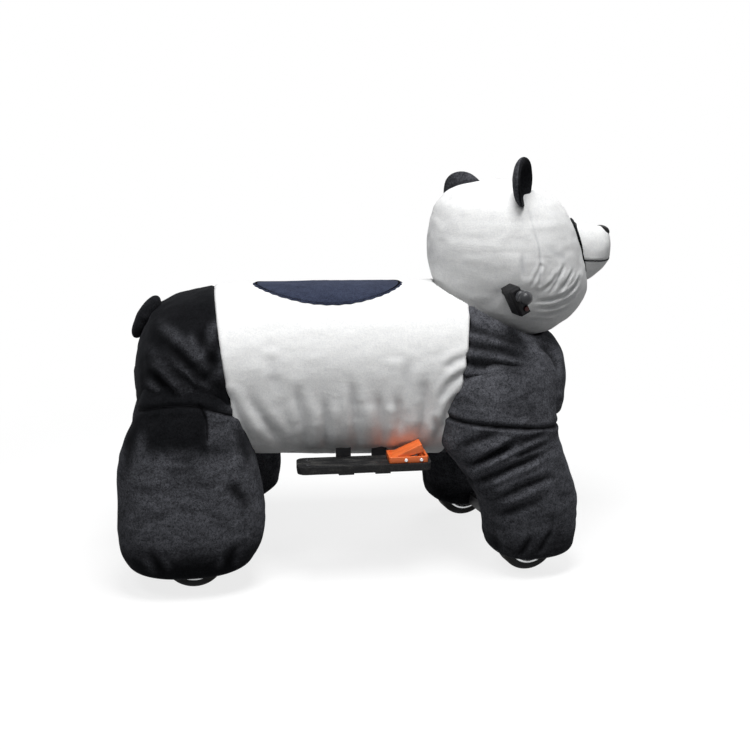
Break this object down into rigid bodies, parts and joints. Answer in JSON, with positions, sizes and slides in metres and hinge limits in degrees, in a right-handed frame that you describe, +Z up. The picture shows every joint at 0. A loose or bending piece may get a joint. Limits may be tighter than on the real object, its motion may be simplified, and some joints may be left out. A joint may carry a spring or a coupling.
{
  "type": "plush ride-on animal",
  "caption": "Electric plush ride-on animal: padded body on a steel trolley, steered by handlebars through its turning head, with footboards and a foot pedal.",
  "frame": {"origin": "on the floor, under the middle of the overall length, on the centre line", "axes": "+X towards the animal's nose, +Y to its left, +Z up"},
  "size_m": [1.3214, 0.6616, 1.0505],
  "materials": {
    "white_plush": "short-pile plush",
    "black_plush": "short-pile plush",
    "navy_plush": "short-pile plush",
    "frame_paint": "satin",
    "plated_steel": "zinc plated",
    "plywood": "bare plywood",
    "board_paint": "black paint",
    "tyre_rubber": "matt",
    "grip_rubber": "matt",
    "belt_rubber": "matt",
    "black_plastic": "satin",
    "orange_plastic": "gloss",
    "button_red": "gloss",
    "battery_case": "matt",
    "motor_paint": "satin",
    "bronze": "plain",
    "nose_black": "gloss"
  },
  "bodies": {
    "frame": {"rail_left": "frame_paint", "rail_right": "frame_paint", "rear_cross_member": "frame_paint", "rear_post_left": "frame_paint", "rear_post_right": "frame_paint", "axle_bearing_left": "frame_paint", "axle_bearing_right": "frame_paint", "neck_plate": "frame_paint", "head_tube": "frame_paint", "head_bush": "bronze", "seat_riser_rear": "plywood", "seat_riser_front": "plywood", "seat_board": "plywood", "drive_motor": "motor_paint", "drive_belt": "belt_rubber", "battery": "battery_case", "control_box": "black_plastic", "step_hanger_rear": "frame_paint", "step_hanger_front": "frame_paint", "footboard_left": "board_paint", "footboard_right": "board_paint", "pedal_base": "orange_plastic", "pedal_spring": "plated_steel", "barrel_cover": "white_plush", "rump_cover": "black_plush", "shoulder_cover": "black_plush", "belly_panel": "white_plush", "saddle_patch": "navy_plush", "tail": "black_plush", "rear_leg_left": "black_plush", "rear_leg_right": "black_plush"},
    "steering": {"steering_column": "frame_paint", "front_beam": "frame_paint", "front_axle": "plated_steel", "leg_bar": "frame_paint", "handlebar": "frame_paint", "grip_left": "grip_rubber", "grip_right": "grip_rubber", "control_pod": "black_plastic", "head": "white_plush", "snout": "white_plush", "nose": "nose_black", "ear_left": "black_plush", "ear_right": "black_plush", "eye_patch_left": "black_plush", "eye_patch_right": "black_plush", "front_leg_left": "black_plush", "front_leg_right": "black_plush"},
    "front_wheel_left": {"tyre_front_left": "tyre_rubber", "rim_front_left": "plated_steel"},
    "front_wheel_right": {"tyre_front_right": "tyre_rubber", "rim_front_right": "plated_steel"},
    "rear_axle": {"rear_axle": "plated_steel", "tyre_rear_left": "tyre_rubber", "rim_rear_left": "plated_steel", "tyre_rear_right": "tyre_rubber", "rim_rear_right": "plated_steel"},
    "motor_pulley": {"motor_pulley": "plated_steel"},
    "pedal": {"pedal_plate": "orange_plastic"},
    "horn_button": {"horn_button": "button_red"}
  },
  "joints": [
    {"name": "steering_turn", "type": "hinge", "parent": "frame", "child": "steering", "pos_m": [0.335, 0, 0.45], "axis": [0, 0, 1], "range_deg": [-30, 6]},
    {"name": "front_wheel_left_spin", "type": "hinge", "parent": "steering", "child": "front_wheel_left", "pos_m": [0.29134, 0.20541, 0.07733], "axis": [-0.2079, 0.9781, 0], "continuous": true},
    {"name": "front_wheel_right_spin", "type": "hinge", "parent": "steering", "child": "front_wheel_right", "pos_m": [0.37866, -0.20541, 0.07733], "axis": [-0.2079, 0.9781, 0], "continuous": true},
    {"name": "rear_axle_spin", "type": "hinge", "parent": "frame", "child": "rear_axle", "pos_m": [-0.476, 0, 0.07733], "axis": [0, 1, 0], "continuous": true},
    {"name": "motor_spin", "type": "hinge", "parent": "frame", "child": "motor_pulley", "pos_m": [-0.395, -0.03, 0.3617], "axis": [0, 1, 0], "continuous": true},
    {"name": "pedal_press", "type": "hinge", "parent": "frame", "child": "pedal", "pos_m": [0.0203, -0.241, 0.3271], "axis": [0, 1, 0], "range_deg": [0, 6], "stiffness_Nm_per_rad": 4, "springref_deg": -6.88, "deforming": ["pedal_spring"]},
    {"name": "horn_press", "type": "slide", "parent": "steering", "child": "horn_button", "axis": [-0.2079, 0.9781, 0], "range_m": [0, 0.003], "stiffness_N_per_m": 400, "springref_m": -0.002}
  ],
  "couplings": [
    {"joint": "motor_spin", "follows": "rear_axle_spin", "ratio": 3}
  ]
}
